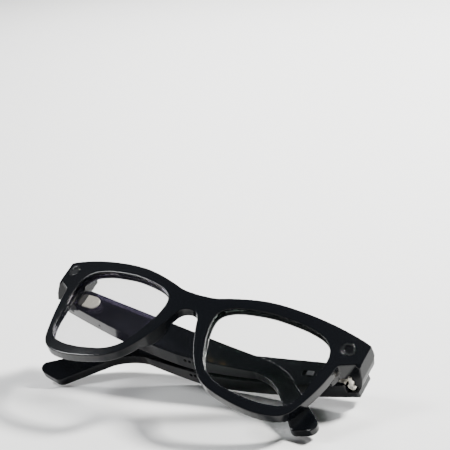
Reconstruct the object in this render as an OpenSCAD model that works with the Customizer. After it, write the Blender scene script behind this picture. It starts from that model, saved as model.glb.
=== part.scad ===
// Smart glasses with folding temples, a camera, a capture light and open-ear speakers.
// Everything is drawn in the wearer's frame: x to the wearer's left, y to the back of the head,
// z up, with the origin on the front face of the bridge. at_rest() then lays it on a table.

/* [Front] */
// Half of the width across the end pieces
half_w = 72.6; // [72.6:0.1:73]
// Radius of the curved front face
front_r = 200; // [190:5:220]
// Thickness of the rims
rim_t = 4.4; // [4.2:0.1:4.8]
// Depth of the end pieces, from the bridge's front face
end_depth = 21.2; // [21:0.1:21.3]
// Thickness of a lens
lens_t = 2; // [1.8:0.1:2]

/* [Temples] */
// Thickness of a temple over the electronics
temple_t = 7.7; // [7.5:0.1:7.7]
// Height of a temple at its hinge
temple_h = 9.8; // [9.6:0.1:10]
// Height of a temple at its deepest place
belly_h = 13; // [12.8:0.1:13.6]
// Length from the hinge end to the start of the ear bend
straight_l = 98; // [96:1:99]
// Length of the straight ear hook after the bend
hook_l = 27.5; // [26:0.5:29]
// Angle of the ear bend
hook_a = 36; // [30:1:45]
// How far a tip curves in towards the head
curl = 10.5; // [9:0.5:11]
// Downward slope of an open temple
slope = 5.7; // [5:0.1:6]

/* [Resting pose] */
// Fold angle of the left temple, which lies over the right one
left_fold = 81.8; // [81.6:0.1:82]
// Fold angle of the right temple, which lies against the front
right_fold = 90; // [89.5:0.1:90]
// Angle by which the front leans back
lean = 63.53; // [62:0.01:67]
// Sideways roll of the front
roll = 7.98; // [7:0.01:9]
// Height of the bridge above the table
lift = 34.69; // [34:0.001:36]
// Sideways shift that centres the glasses over the origin
shift_x = 1.492; // [1:0.001:2]
// Forward shift that centres the glasses over the origin
shift_y = -5.065; // [-6:0.001:-3]

/* [Controls] */
// Length of the capture button
button_l = 9; // [8:0.5:10]
// Travel of the capture button
button_travel = 0.4; // [0.3:0.05:0.5]
// Travel of the power switch
switch_travel = 2; // [1.5:0.1:2]

/* [Hidden] */
$fn = 48;
eps = 0.01;
gap = 0.05;
pivot = [67.35, 23.95];
hinge_z = 13;
knuckle_r = 1.7;
pin_r = 0.7;
knuckle_z = [-3, -1.15, 1.15, 3];
temple_y = 22.8;
temple_top = 19.4;
inner_x = 72.8 - temple_t;
rebate_x = 69.45;
rebate_y = pivot[1] + 2.2;
bend_r = 32;
hook_w = 7.4;
tip_w = 10.6;
cover_t = 1;
wall = 1.2;
end_x = 58.8;
camera_at = [64.6, 18.2];
light_at = [66.6, 19.4];
ring_r = 2.8;
window_r = 1.9;
flare_x = 71.2;
lens_c = [35.3, 0];
groove_k = 1.034;
lens_k = 1.030;
button_s = 15;
switch_s = 20;
speaker_s = 70.5;
cover_s = [17, 80];

// Half of the outline of the front, from the top of the bridge round to its underside
front_half = [
    [0, 17.1], [7.5, 17.7], [13, 19.6], [20, 21.9], [26, 23.5], [33, 24.7], [44, 25.5],
    [55, 25.6], [64, 25.1], [70, 24.4], [half_w, 22.8], [half_w, 15.4], [70.6, 14], [67.2, 11.6],
    [64.2, 9.3], [63.6, 5.4], [62.3, -2], [60, -10.5], [57, -18.4],
    [52, -22.7], [44, -24.6], [35, -24.4], [26, -22.7], [20.5, -20.2], [16.1, -16.2],
    [12.3, -10.8], [9, -4.5], [6.4, 2], [4.8, 6.2], [2.8, 8.3], [0, 9]
];

// Outline of a lens opening
lens_points = [
    [58.5, 0], [59.7, 8], [58.6, 14.2], [54.6, 18.4], [47.5, 19.9], [39.5, 19.9], [32.5, 19.5],
    [25.4, 18.2], [17.4, 16], [12.4, 12.4], [11.3, 7.5], [12.7, 0], [15.5, -7.5], [19.3, -14],
    [25.4, -18.2], [32.5, -19.6], [39.5, -20], [47.1, -19.2], [54, -16.2], [57.4, -9.5]
];

function flip(list) = [for (i = [len(list) - 1 : -1 : 0]) list[i]];
function mirrored(list) = [for (p = list) [-p[0], p[1]]];
function inner(list) = [for (i = [1 : len(list) - 2]) list[i]];

// Catmull-Rom curve between b and c
function between(a, b, c, d, t) =
    0.5 * (2 * b + (c - a) * t + (2 * a - 5 * b + 4 * c - d) * t * t
    + (3 * b - a - 3 * c + d) * t * t * t);

// Smooth closed curve through the points
function smooth_loop(p, steps) = let(n = len(p)) [
    for (i = [0 : n - 1]) for (k = [0 : steps - 1])
        between(p[(i + n - 1) % n], p[i], p[(i + 1) % n], p[(i + 2) % n], k / steps)
];

// Smooth open curve through the points
function smooth_line(p, steps) = let(n = len(p) - 1) concat([
    for (i = [0 : n - 1]) for (k = [0 : steps - 1])
        between(p[max(i - 1, 0)], p[i], p[i + 1], p[min(i + 2, n)], k / steps)
], [p[n]]);

front_outline = smooth_loop(concat(front_half, flip(mirrored(inner(front_half)))), 3);
lens_outline = smooth_loop(lens_points, 3);

// Depth and angle of the front face at a distance x from the middle
function face_y(x) = front_r - sqrt(front_r * front_r - x * x);
function face_angle(x) = asin(x / front_r);

// Lays the glasses on the table as they rest when folded
module at_rest() {
    translate([shift_x, shift_y, lift]) rotate([-lean, roll, 0]) children();
}

// The wearer's left is drawn, and side = -1 mirrors it
module on_side(side) {
    if (side > 0) children();
    else mirror([1, 0, 0]) children();
}

// Turns an open temple about its hinge to the resting pose
module folded(side) {
    on_side(side) translate(pivot) rotate([0, 0, side > 0 ? left_fold : right_fold])
        translate(-pivot) children();
}

// Extrudes a shape drawn in x and z along y
module along_y(y0, y1) {
    translate([0, y1, 0]) rotate([90, 0, 0]) linear_extrude(y1 - y0) children();
}

// Slice of the curved front between two depths behind its face
module curved_layer(near, far) {
    translate([0, front_r, -40]) difference() {
        cylinder(h = 80, r = front_r - near, $fn = 360);
        translate([0, 0, -1]) cylinder(h = 82, r = front_r - far, $fn = 360);
    }
}

// Puts a piece on the front face, with its own z pointing out of the face
module on_face(at) {
    translate([at[0], face_y(at[0]), at[1]]) rotate([0, 0, face_angle(at[0])]) rotate([90, 0, 0])
        children();
}

// Scales a lens outline about the lens centre
module lens_shape(k) {
    translate(lens_c) scale(k) translate(-lens_c) polygon(lens_outline);
}

// Side view of an end piece, in y and z
end_profile = [
    [5, 24.4], [12.6, 24.4], [end_depth, 21.6], [end_depth, 9.2], [12.6, 13.2], [5, 13.2]
];

module end_piece() {
    intersection() {
        translate([end_x, 0, 0]) rotate([90, 0, 90]) linear_extrude(half_w - end_x)
            polygon(end_profile);
        translate([0, front_r, -40]) cylinder(h = 80, r = front_r - 0.3, $fn = 360);
    }
    intersection() {
        along_y(10, 19.3) polygon([[end_x, 14], [end_x, 5.4], [62.3, 4.6], [64, 9.3], [flare_x, 14.4]]);
        translate([0, front_r, -40]) cylinder(h = 80, r = front_r - 0.3, $fn = 360);
    }
}

// Pocket for the hinge: everything inboard of the end piece's outer lip is cut shorter
module hinge_relief() {
    translate([40, 19.5, 0]) cube([69.2 - 40, 10, 40]);
    translate([pivot[0] - 0.75, 17.95, hinge_z + knuckle_z[0] - gap])
        cube([1.5, 10, knuckle_z[3] - knuckle_z[0] + 2 * gap]);
}

// Nose pad: the part of a rim beside the nose, swelling backwards as a low dome
module nose_pad() {
    intersection() {
        along_y(2, 9) difference() {
            polygon(front_outline);
            lens_shape(1.02);
        }
        translate([9.6, -4.4, -5]) sphere(r = 12, $fn = 96);
        translate([0, 0, -30]) cube([40, 10, 36]);
    }
}

// Centre line of the flexible cable inside the top bar
flex_half = [
    [7, 13.6], [14, 17.5], [20, 19.8], [26, 21.3], [33, 22.4], [44, 23], [54, 22.9], [60, 22.3]
];
flex_line = smooth_line(concat(flip(mirrored(flex_half)), [[0, 13]], flex_half), 2);

module flex_band(half_h) {
    upper = [for (p = flex_line) p + [0, half_h]];
    lower = [for (p = flex_line) p - [0, half_h]];
    polygon(concat(upper, flip(lower)));
}

// Plan view of the front's sides: narrower at the face and flaring out towards the temples
flare_plan = [
    [0, -5], [flare_x, -5], [flare_x, 12.6], [half_w, 18.6], [half_w, 30], [0, 30]
];

module front_body() {
    for (side = [-1, 1]) on_side(side) intersection() {
        union() {
            intersection() {
                along_y(-1, 30) polygon(front_outline);
                curved_layer(0, rim_t);
            }
            end_piece();
            nose_pad();
        }
        translate([-eps, 0, -60]) linear_extrude(120) polygon(flare_plan);
    }
}

module front_frame() {
    color("#101114") at_rest() difference() {
        front_body();
        for (side = [-1, 1]) on_side(side) {
            along_y(-1, 14.8) lens_shape(1);
            intersection() {
                along_y(-1, 30) lens_shape(groove_k);
                curved_layer(rim_t / 2 - lens_t / 2 - gap, rim_t / 2 + lens_t / 2 + gap);
            }
            hinge_relief();
            on_face(side > 0 ? camera_at : light_at) translate([0, 0, -7]) {
                cylinder(h = 8, r = 2.2);
                translate([-2.9, -3.1, 0]) cube([5.8, 6.2, 1.2]);
                translate([0, 0, 5.9]) cylinder(h = 2, r = ring_r + gap);
            }
        }
        intersection() {
            along_y(-1, 30) flex_band(1.25);
            curved_layer(1.9, 2.8);
        }
        translate([0, rim_t - 1.1, 12.6]) {
            for (x = [-2.6, 2.6]) translate([x, 0, 0]) rotate([-90, 0, 0]) cylinder(h = 4, r = 1.15);
        }
        translate([-1.6, 2.5, 9.6]) cube([3.2, 4, 1.3]);
    }
}

module lens(side) {
    color([0.85, 0.88, 0.92, 0.3]) at_rest() on_side(side) intersection() {
        along_y(-1, 30) lens_shape(lens_k);
        curved_layer(rim_t / 2 - lens_t / 2, rim_t / 2 + lens_t / 2);
    }
}
module left_lens() { lens(1); }
module right_lens() { lens(-1); }

module face_ring(side, at) {
    on_side(side) on_face(at) translate([0, 0, -1.05]) difference() {
        cylinder(h = 1.2, r = ring_r);
        translate([0, 0, -1]) cylinder(h = 4, r = window_r + gap);
    }
}
module face_window(side, at) {
    on_side(side) on_face(at) translate([0, 0, -0.95]) cylinder(h = 0.85, r = window_r);
}
module face_module(side, at, barrel_r) {
    on_side(side) on_face(at) {
        translate([0, 0, -6]) cylinder(h = 4.8, r = barrel_r);
        translate([-2.8, -3, -6.9]) cube([5.6, 6, 0.9]);
    }
}
module camera_ring() { color("#1c1d20") at_rest() face_ring(1, camera_at); }
module camera_glass() { color("#0a0b0d") at_rest() face_window(1, camera_at); }
module camera_module() { color("#2a2c30") at_rest() face_module(1, camera_at, 2.1); }
module light_ring() { color("#1c1d20") at_rest() face_ring(-1, light_at); }
module light_window() { color("#d8dade") at_rest() face_window(-1, light_at); }
module light_module() { color("#e8e6d8") at_rest() face_module(-1, light_at, 1.9); }

module front_flex() {
    color("#c8801e") at_rest() intersection() {
        along_y(-1, 30) flex_band(1.1);
        curved_layer(2.2, 2.5);
    }
}

module charging_contacts() {
    color("#d9b25a") at_rest() for (x = [-2.6, 2.6])
        translate([x, rim_t - 1.05, 12.6]) rotate([-90, 0, 0]) cylinder(h = 1.2, r = 1.1);
}

module nose_microphone() {
    color("#b9bcc2") at_rest() translate([-1.5, 2.6, 9.65]) cube([3, 1.6, 1.2]);
}

// A hinge knuckle between two heights
module knuckle(low, high, hole_r) {
    translate([pivot[0], pivot[1], hinge_z + low]) difference() {
        cylinder(h = high - low, r = knuckle_r);
        translate([0, 0, -1]) cylinder(h = high - low + 2, r = hole_r);
    }
}

// Hinge half that is moulded into the end piece, with two knuckles
module front_hinge(side) {
    color("#cfc6b2") at_rest() on_side(side) {
        translate([pivot[0] - 0.7, 18, hinge_z + knuckle_z[0]])
            cube([1.4, 3.2, knuckle_z[3] - knuckle_z[0]]);
        for (k = [0, 2]) {
            knuckle(knuckle_z[k], knuckle_z[k + 1], pin_r + 0.02);
            translate([pivot[0] - 0.7, 21, hinge_z + knuckle_z[k]])
                cube([1.4, pivot[1] - 1.2 - 21, knuckle_z[k + 1] - knuckle_z[k]]);
        }
    }
}
module left_front_hinge() { front_hinge(1); }
module right_front_hinge() { front_hinge(-1); }

module hinge_screw(side) {
    color("#d7d3c8") at_rest() on_side(side) translate([pivot[0], pivot[1], hinge_z + knuckle_z[0]]) {
        cylinder(h = 7.6, r = pin_r);
        translate([0, 0, 7]) difference() {
            cylinder(h = 0.7, r = 1.35);
            translate([-2, -0.15, 0.35]) cube([4, 0.3, 1]);
        }
    }
}
module left_hinge_screw() { hinge_screw(1); }
module right_hinge_screw() { hinge_screw(-1); }

// Side view of a temple: s runs from the hinge end to the tip, h runs down from the top edge
belly = [
    [-4, temple_h], [0, temple_h], [12, temple_h + 1.4], [34, belly_h], [62, belly_h],
    [82, 10.2], [straight_l, hook_w]
];
function bend_point(r, a) = [straight_l + r * sin(a), -bend_r + r * cos(a)];
function hook_point(s, h) =
    bend_point(bend_r, hook_a) + s * [cos(hook_a), -sin(hook_a)] - h * [sin(hook_a), cos(hook_a)];
tip_profile = [
    for (a = [85 : -12.5 : -40]) hook_point(hook_l - 1.9 + 3 * cos(a), 2.6 - 3 * sin(a)),
    for (a = [-40 : -10 : -80]) hook_point(hook_l - 6.3 + 4 * cos(a), tip_w - 4.4 - 4 * sin(a))
];
temple_profile = concat(
    [[-4, 0]],
    [for (a = [0 : 6 : hook_a]) bend_point(bend_r, a)],
    tip_profile,
    [hook_point(hook_l * 0.4, hook_w + 1.2)],
    [for (a = [hook_a : -6 : 0]) bend_point(bend_r - hook_w, a)],
    flip([for (p = smooth_line(belly, 3)) if (p[0] < straight_l - 1) [p[0], -p[1]]])
);

// Plan view of a temple, in x and distance s from the hinge end
function thickness(s) = lookup(s, [[70, temple_t], [80, 6.8], [92, 5.6], [110, 4.2], [142, 3.6]]);
function bow(s) = curl * pow(max(s - 70, 0) / 71, 2.5);
plan_s = concat([-1.4], [for (s = [70 : 6 : 142]) s], [145]);
temple_plan = concat(
    [for (s = plan_s) [inner_x + thickness(s) - bow(s), temple_y + s]],
    flip([for (s = plan_s) [inner_x - bow(s), temple_y + s]])
);

// Draws in s and h, extruded from x0 to x1
module along_x(x0, x1) {
    translate([x0, temple_y, temple_top]) rotate([-slope, 0, 0]) rotate([90, 0, 90])
        linear_extrude(x1 - x0) children();
}

// Box in temple coordinates: s and h ranges, x range; h counts down from the top edge
module temple_box(s, h, x) {
    along_x(x[0], x[1]) translate([s[0], -h[1]]) square([s[1] - s[0], h[1] - h[0]]);
}

// Straight part of a temple's side view, drawn inset by a margin
module inset_side(s0, s1, margin) {
    line = [for (p = smooth_line(belly, 3)) if (p[0] > s0 + 1 && p[0] < s1 - 1) p];
    floor_line = [for (p = line) [p[0], margin - p[1]]];
    front_end = [[s0, -margin], [s0, floor_line[0][1]]];
    back_end = [[s1, floor_line[len(line) - 1][1]], [s1, -margin]];
    polygon(concat(front_end, floor_line, back_end));
}

module temple_block() {
    intersection() {
        along_x(40, 90) polygon(temple_profile);
        plan_block(0);
    }
}

// Everything between the temple's inner and outer face, moved inwards by a distance
module plan_block(inwards) {
    translate([-inwards, 0, -60]) linear_extrude(120) polygon(temple_plan);
}

// Rounded plate of the temple's hinge half, and its pocket when grown
module plate_shape(x0, x1, grow) {
    half = 3.1 + grow;
    translate([x0, 0, hinge_z]) rotate([90, 0, 90]) linear_extrude(x1 - x0) {
        translate([rebate_y + gap - grow, -half]) square([8.4 + 2 * grow, 2 * half]);
        translate([rebate_y + 8.5, 0]) circle(r = half);
    }
}

module speaker_slots() {
    for (i = [0 : 4])
        translate([inner_x + 2, 0, 0])
            temple_box([speaker_s - 5 + i * 2.2, speaker_s - 3.9 + i * 2.2], [7, 16], [0, 1.4]);
}

module temple_shell() {
    difference() {
        temple_block();
        translate([50, 20, 0]) cube([rebate_x - 50, rebate_y - 20, 40]);
        plate_shape(inner_x - 1, inner_x + 1.1, gap);
        along_x(inner_x - 1, inner_x + cover_t + gap) inset_side(cover_s[0], cover_s[1], 0.8);
        intersection() {
            along_x(inner_x, inner_x + temple_t) inset_side(cover_s[0] + 1, cover_s[1] - 1, 1.8);
            plan_block(wall);
        }
        speaker_slots();
        temple_box([19.4, 20.2], [7, 16], [inner_x + 3.7, inner_x + 4.5]);
    }
}

module temple_cover() {
    intersection() {
        along_x(inner_x - 1, inner_x + cover_t)
            inset_side(cover_s[0] + gap, cover_s[1] - gap, 0.8 + gap);
        plan_block(0);
    }
}

module hinge_plate(side) {
    color("#cfc6b2") at_rest() folded(side) {
        plate_shape(inner_x - 0.35, inner_x + 1.05, 0);
        knuckle(knuckle_z[1] + gap, knuckle_z[2] - gap, pin_r + 0.06);
        difference() {
            translate([inner_x, pivot[1], hinge_z + knuckle_z[1] + gap])
                cube([1.1, 3, knuckle_z[2] - knuckle_z[1] - 2 * gap]);
            translate([pivot[0], pivot[1], hinge_z - 5]) cylinder(h = 10, r = 1.4);
        }
    }
}
module left_hinge_plate() { hinge_plate(1); }
module right_hinge_plate() { hinge_plate(-1); }

module left_temple_shell() {
    color("#101114") at_rest() folded(1) temple_shell();
}

module left_temple_cover() {
    color("#131417") at_rest() folded(1) difference() {
        temple_cover();
        temple_box([switch_s - 1, switch_s + 2.2 + switch_travel], [5, 7.4], [inner_x - 1, inner_x + 3]);
    }
}

module power_switch() {
    color("#3a3c40") at_rest() folded(1) {
        temple_box([switch_s - 0.9, switch_s + 2.1], [5.1, 7.3], [inner_x - 0.3, inner_x + 1.1]);
        temple_box([switch_s - 0.6, switch_s + 1.7], [5.6, 6.8], [inner_x + 1, inner_x + 1.5]);
    }
}

module power_switch_base() {
    color("#8d9096") at_rest() folded(1) difference() {
        temple_box([switch_s - 1.5, switch_s + 6], [4.2, 8], [inner_x + 1.15, inner_x + 3.1]);
        translate([inner_x + 1, 0, 0])
            temple_box([switch_s - 0.7, switch_s + 1.8 + switch_travel], [5.5, 6.9], [0, 0.6]);
    }
}

// A circuit board with three chips, flat against the outer wall
module circuit_board(side, s0, s1) {
    x = inner_x + temple_t - wall - 1.3;
    color("#1f5a36") at_rest() folded(side) {
        temple_box([s0, s1], [2.2, 8.8], [x, x + 0.8]);
        for (i = [0 : 2])
            temple_box([s0 + 2 + i * 5.5, s0 + 5.6 + i * 5.5], [3.6, 7.4], [x - 1.1, x + eps]);
    }
}
module left_circuit_board() { circuit_board(1, 19, 37); }
module right_circuit_board() { circuit_board(-1, 26, 45); }

module battery(side, s0, s1) {
    color("#b7bbc1") at_rest() folded(side)
        temple_box([s0, s1], [2.4, 9.4], [inner_x + 1.3, inner_x + 5.4]);
}
module left_battery() { battery(1, 38.5, 63.5); }
module right_battery() { battery(-1, 46.5, 63.5); }

module speaker(side) {
    color("#55585e") at_rest() folded(side)
        temple_box([speaker_s - 6, speaker_s + 8], [2.2, 8.2], [inner_x + 1.4, inner_x + 4.6]);
}
module left_speaker() { speaker(1); }
module right_speaker() { speaker(-1); }

// Perforated strip behind the speaker slots
module speaker_grille(side) {
    color("#2c2e33") at_rest() folded(side) difference() {
        temple_box([speaker_s - 5.4, speaker_s + 5.6], [8.35, 8.65], [inner_x + 1.5, inner_x + 3.9]);
        for (i = [0 : 11])
            translate([inner_x + 2.1, 0, 0])
                temple_box([speaker_s - 4.9 + i * 0.85, speaker_s - 4.5 + i * 0.85], [8, 9], [0, 1.2]);
    }
}
module left_speaker_grille() { speaker_grille(1); }
module right_speaker_grille() { speaker_grille(-1); }

module microphone(side) {
    color("#c9ccd1") at_rest() folded(side)
        temple_box([18.3, 21.3], [8.2, 9.6], [inner_x + 3.4, inner_x + 4.8]);
}
module left_microphone() { microphone(1); }
module right_microphone() { microphone(-1); }

module right_temple_shell() {
    x = inner_x + temple_t / 2;
    color("#101114") at_rest() folded(-1) difference() {
        temple_shell();
        temple_box([button_s - 0.15, button_s + button_l + 0.15], [-1, 1.9], [x - 1.75, x + 1.75]);
        temple_box([button_s - 0.7, button_s + button_l + 0.7], [1.2, 3.6], [x - 2.15, x + 2.15]);
    }
}

module right_temple_cover() {
    color("#131417") at_rest() folded(-1) temple_cover();
}

// Thin touch sensor on the inside of the outer wall
module touch_pad() {
    x = inner_x + temple_t - wall;
    color("#c8801e") at_rest() folded(-1) temple_box([26, 60], [2.2, 9.8], [x - 0.35, x - gap]);
}

module capture_button() {
    x = inner_x + temple_t / 2;
    color("#1a1b1e") at_rest() folded(-1) {
        temple_box([button_s, button_s + button_l], [-0.5, 1.35], [x - 1.6, x + 1.6]);
        temple_box([button_s - 0.5, button_s + button_l + 0.5], [1.3, 1.8], [x - 2, x + 2]);
    }
}

module button_dome() {
    x = inner_x + temple_t / 2;
    mid = button_s + button_l / 2;
    color("#b9bcc2") at_rest() folded(-1)
        temple_box([mid - 2, mid + 2], [2.1 + button_travel, 3.5], [x - 1.8, x + 1.8]);
}

front_frame();
left_lens();
right_lens();
camera_ring();
camera_glass();
camera_module();
light_ring();
light_window();
light_module();
front_flex();
charging_contacts();
nose_microphone();
left_front_hinge();
right_front_hinge();
left_hinge_screw();
right_hinge_screw();
left_temple_shell();
left_temple_cover();
left_hinge_plate();
left_circuit_board();
left_battery();
left_speaker();
left_speaker_grille();
left_microphone();
power_switch();
power_switch_base();
right_temple_shell();
right_temple_cover();
right_hinge_plate();
right_circuit_board();
right_battery();
right_speaker();
right_speaker_grille();
right_microphone();
touch_pad();
capture_button();
button_dome();
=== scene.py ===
"""Folded smart glasses on a pale table: looks for the CAD frame."""

import math

import bpy
from mathutils import Matrix, Vector

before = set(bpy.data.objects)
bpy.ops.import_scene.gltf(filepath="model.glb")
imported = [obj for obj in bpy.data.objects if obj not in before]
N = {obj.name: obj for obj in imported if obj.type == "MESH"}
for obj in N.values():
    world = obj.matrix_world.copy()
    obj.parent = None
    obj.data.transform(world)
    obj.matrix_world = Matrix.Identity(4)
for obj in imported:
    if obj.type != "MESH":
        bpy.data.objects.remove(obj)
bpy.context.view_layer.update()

# ---------------------------------------------------------------- shared frame
# The glasses are drawn in the wearer's frame (mm: x left, y back, z up, origin on the bridge)
# and laid on the table by the same turn as the CAD: lean back, then roll, then shift.
LEAN, ROLL = math.radians(63.53), math.radians(7.98)
SHIFT = Vector((1.492, -5.065, 34.690))
TURN = Matrix.Rotation(ROLL, 3, "Y") @ Matrix.Rotation(-LEAN, 3, "X")


def row(p):
    """Wearer's frame in mm to the row frame in metres."""
    return (TURN @ Vector(p) + SHIFT) / 1000


# ---------------------------------------------------------------- materials
def material(name, color, rough=0.4, metal=0.0, coat=0.0, coat_rough=0.05, spec=0.5):
    m = bpy.data.materials.new(name)
    m.use_nodes = True
    s = m.node_tree.nodes["Principled BSDF"]
    s.inputs["Base Color"].default_value = (*color, 1)
    s.inputs["Roughness"].default_value = rough
    s.inputs["Metallic"].default_value = metal
    s.inputs["Coat Weight"].default_value = coat
    s.inputs["Coat Roughness"].default_value = coat_rough
    s.inputs["Specular IOR Level"].default_value = spec
    return m


def add(m, kind):
    return m.node_tree.nodes.new(kind)


def link(m, a, out, b, into):
    m.node_tree.links.new(a.outputs[out], b.inputs[into])


def grain(m, scale, low, high, bump=0.0, bump_scale=None, stretch=(1, 1, 1)):
    """Uneven roughness, and a fine bump where asked, from object-space noise."""
    s = m.node_tree.nodes["Principled BSDF"]
    co = add(m, "ShaderNodeTexCoord")
    mp = add(m, "ShaderNodeMapping")
    mp.inputs["Scale"].default_value = stretch
    link(m, co, "Object", mp, "Vector")
    n = add(m, "ShaderNodeTexNoise")
    n.inputs["Scale"].default_value = scale
    n.inputs["Detail"].default_value = 5
    link(m, mp, "Vector", n, "Vector")
    r = add(m, "ShaderNodeMapRange")
    r.inputs["To Min"].default_value = low
    r.inputs["To Max"].default_value = high
    link(m, n, "Fac", r, "Value")
    link(m, r, "Result", s, "Roughness")
    if bump:
        b = add(m, "ShaderNodeTexNoise")
        b.inputs["Scale"].default_value = bump_scale or scale * 6
        b.inputs["Detail"].default_value = 3
        link(m, mp, "Vector", b, "Vector")
        k = add(m, "ShaderNodeBump")
        k.inputs["Strength"].default_value = bump
        k.inputs["Distance"].default_value = 0.0002
        link(m, b, "Fac", k, "Height")
        link(m, k, "Normal", s, "Normal")
    return m


GLOSS = grain(material("frame_gloss", (0.0040, 0.0047, 0.0062), 0.2, coat=0.08, coat_rough=0.04,
                       spec=0.22), 60, 0.12, 0.20)
COVER = grain(material("cover_gloss", (0.0044, 0.0050, 0.0064), 0.2, coat=0.08, coat_rough=0.05,
                       spec=0.22), 80, 0.14, 0.23)
CHAMPAGNE = grain(material("hinge_champagne", (0.83, 0.79, 0.70), 0.38, metal=0.45), 500, 0.32, 0.46,
                  bump=0.04, bump_scale=2600)
STEEL = grain(material("screw_steel", (0.75, 0.73, 0.69), 0.25, metal=1.0), 700, 0.18, 0.32)
GOLD = grain(material("contact_gold", (0.86, 0.62, 0.26), 0.2, metal=1.0), 700, 0.14, 0.26)
RING = grain(material("ring_gloss", (0.010, 0.011, 0.012), 0.16, coat=0.6), 300, 0.12, 0.22)
GLASS_DARK = grain(material("camera_glass_dark", (0.003, 0.003, 0.004), 0.06, coat=1.0, coat_rough=0.02),
                   40, 0.03, 0.08)
LIGHT = grain(material("light_diffuser", (0.012, 0.013, 0.014), 0.22, coat=0.7), 300, 0.16, 0.28)
SWITCH = grain(material("switch_grey", (0.035, 0.037, 0.041), 0.42), 900, 0.36, 0.52, bump=0.12)
MODULE = grain(material("module_grey", (0.030, 0.032, 0.036), 0.5), 900, 0.42, 0.58, bump=0.1)
METAL_CAN = grain(material("component_can", (0.58, 0.59, 0.61), 0.35, metal=1.0), 400, 0.28, 0.42)
BOARD = grain(material("board_green", (0.012, 0.075, 0.030), 0.4, coat=0.3), 300, 0.34, 0.48)
FILM = grain(material("flex_film", (0.42, 0.20, 0.035), 0.35, coat=0.2), 300, 0.28, 0.42)


def coated_lens(name, face_on, slanted):
    """Clear lens with a faint coating reflection, coloured by the angle it is seen at."""
    m = bpy.data.materials.new(name)
    m.use_nodes = True
    t = m.node_tree
    t.nodes.clear()
    out = add(m, "ShaderNodeOutputMaterial")
    clear = add(m, "ShaderNodeBsdfTransparent")
    clear.inputs["Color"].default_value = (0.975, 0.978, 0.975, 1)
    shine = add(m, "ShaderNodeBsdfGlossy")
    shine.inputs["Roughness"].default_value = 0.03
    tint = add(m, "ShaderNodeValToRGB")
    tint.color_ramp.elements[0].color = (*face_on, 1)
    tint.color_ramp.elements[1].color = (*slanted, 1)
    slant = add(m, "ShaderNodeLayerWeight")
    slant.inputs["Blend"].default_value = 0.35
    amount = add(m, "ShaderNodeMapRange")
    amount.inputs["To Min"].default_value = 0.02
    amount.inputs["To Max"].default_value = 0.22
    mix = add(m, "ShaderNodeMixShader")
    link(m, slant, "Facing", tint, "Fac")
    link(m, tint, "Color", shine, "Color")
    link(m, slant, "Fresnel", amount, "Value")
    link(m, amount, "Result", mix, 0)
    link(m, clear, "BSDF", mix, 1)
    link(m, shine, "BSDF", mix, 2)
    link(m, mix, "Shader", out, "Surface")
    return m


GREEN_LENS = coated_lens("lens_green_coat", (0.45, 0.62, 0.52), (0.55, 0.66, 0.60))
VIOLET_LENS = coated_lens("lens_violet_coat", (0.66, 0.60, 0.82), (0.72, 0.66, 0.86))

# ---------------------------------------------------------------- pieces
LOOKS = {
    "front_frame": GLOSS, "left_temple_shell": GLOSS, "right_temple_shell": GLOSS,
    "left_temple_cover": COVER, "right_temple_cover": COVER, "left_lens": GREEN_LENS,
    "right_lens": VIOLET_LENS,
    "camera_ring": RING, "light_ring": RING, "camera_glass": GLASS_DARK, "light_window": LIGHT,
    "camera_module": MODULE, "light_module": MODULE, "front_flex": FILM, "touch_pad": FILM,
    "charging_contacts": GOLD, "nose_microphone": METAL_CAN, "left_front_hinge": CHAMPAGNE,
    "right_front_hinge": CHAMPAGNE, "left_hinge_plate": CHAMPAGNE, "right_hinge_plate": CHAMPAGNE,
    "left_hinge_screw": STEEL, "right_hinge_screw": STEEL, "left_circuit_board": BOARD,
    "right_circuit_board": BOARD, "left_battery": METAL_CAN, "right_battery": METAL_CAN,
    "left_speaker": MODULE, "right_speaker": MODULE, "left_speaker_grille": SWITCH,
    "right_speaker_grille": SWITCH, "left_microphone": METAL_CAN, "right_microphone": METAL_CAN,
    "power_switch": SWITCH, "power_switch_base": MODULE, "capture_button": RING,
    "button_dome": METAL_CAN,
}
# Visible pieces with rounded edges: grain of the rebuilt mesh in mm, and smoothing passes
ROUNDED = {
    "front_frame": (0.22, 9), "left_temple_shell": (0.2, 9), "right_temple_shell": (0.2, 9),
    "left_hinge_plate": (0.07, 6), "right_hinge_plate": (0.07, 6), "left_front_hinge": (0.07, 4),
    "right_front_hinge": (0.07, 4), "left_hinge_screw": (0.05, 3), "right_hinge_screw": (0.05, 3),
    "camera_ring": (0.05, 4), "light_ring": (0.05, 4), "capture_button": (0.06, 6),
    "power_switch": (0.05, 5), "left_temple_cover": (0.12, 3), "right_temple_cover": (0.12, 3),
    "charging_contacts": (0.05, 4),
}


WELD_M = 1e-6
EASE = 0.5


def rounded(o, grain_mm, passes):
    """Rebuilds a sharp CAD mesh evenly and eases its edges, without touching its own vertices."""
    weld = o.modifiers.new("weld", "WELD")
    weld.merge_threshold = WELD_M
    even = o.modifiers.new("even", "REMESH")
    even.mode = "VOXEL"
    even.voxel_size = grain_mm / 1000
    even.use_smooth_shade = True
    ease = o.modifiers.new("ease", "SMOOTH")
    ease.factor = EASE
    ease.iterations = passes


for name, o in N.items():
    o.data.materials.clear()
    o.data.materials.append(LOOKS[name])
    if name in ROUNDED:
        rounded(o, *ROUNDED[name])


# ---------------------------------------------------------------- floor, light and camera
# Every light is turned to the middle of the glasses
AIM = Vector((0, 0, 0.02))


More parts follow.
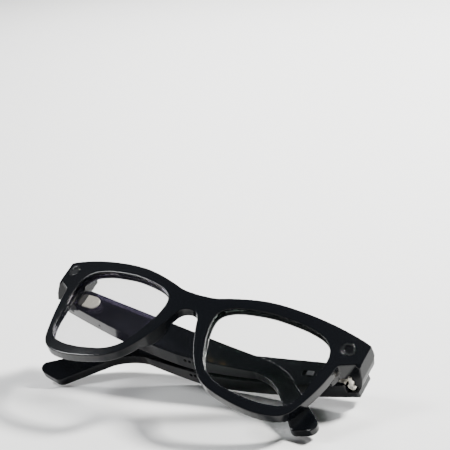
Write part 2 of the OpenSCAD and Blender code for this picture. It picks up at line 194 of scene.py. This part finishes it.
def area_light(name, place, size, power, color, size_y=None):
    """A soft light in metres and watts: a square, or a strip where size_y is given."""
    data = bpy.data.lights.new(name, "AREA")
    data.energy = power
    data.color = color
    data.size = size
    if size_y:
        data.shape = "RECTANGLE"
        data.size_y = size_y
    o = bpy.data.objects.new(name, data)
    o.location = place
    o.rotation_euler = (AIM - Vector(place)).to_track_quat("-Z", "Y").to_euler()
    bpy.context.collection.objects.link(o)


# Half the side of the square floor, in metres
HALF_FLOOR = 1.5
floor_mesh = bpy.data.meshes.new("floor")
floor_corners = [(x * HALF_FLOOR, y * HALF_FLOOR, 0) for x, y in ((-1, -1), (1, -1), (1, 1), (-1, 1))]
floor_mesh.from_pydata(floor_corners, [], [(0, 1, 2, 3)])
floor = bpy.data.objects.new("floor", floor_mesh)
bpy.context.collection.objects.link(floor)
TABLE = grain(material("table_white", (0.86, 0.86, 0.855), 0.55), 25, 0.5, 0.62)
floor_mesh.materials.append(TABLE)

# A dim room keeps the black frame dark; the area lights do the work
world = bpy.data.worlds.new("studio")
world.use_nodes = True
room = world.node_tree.nodes["Background"]
room.inputs["Color"].default_value = (0.93, 0.95, 0.97, 1)
room.inputs["Strength"].default_value = 0.09
bpy.context.scene.world = world

area_light("key", (0.45, 0.65, 0.80), 0.20, 40, (1, 0.99, 0.965))
area_light("fill", (-0.75, -0.10, 0.75), 0.30, 11, (0.97, 0.985, 1))
area_light("strip", (-0.20, 0.80, 0.30), 0.8, 7, (1, 1, 1), 0.06)

# The camera looks at the glasses from in front of and below the wearer's chin.
# EYE is its place in mm, AHEAD its direction and ABOVE its upward side, all in the wearer's frame.
EYE = (299.3, -474.8, -299.9)
AHEAD = Vector((-0.4604, 0.7117, 0.5306))
ABOVE = Vector((-0.2154, -0.6694, 0.7110))
SENSOR_MM, FOCAL_MM = 36, 128
camera_data = bpy.data.cameras.new("camera")
camera_data.sensor_width = SENSOR_MM
camera_data.lens = FOCAL_MM
camera_data.clip_start = 0.01
camera = bpy.data.objects.new("camera", camera_data)
bpy.context.collection.objects.link(camera)
ahead = (TURN @ AHEAD).normalized()
right = ahead.cross(TURN @ ABOVE).normalized()
camera.matrix_world = Matrix.Translation(row(EYE)) @ Matrix(
    (right, right.cross(ahead), -ahead)).transposed().to_4x4()
bpy.context.scene.camera = camera

bpy.context.view_layer.update()
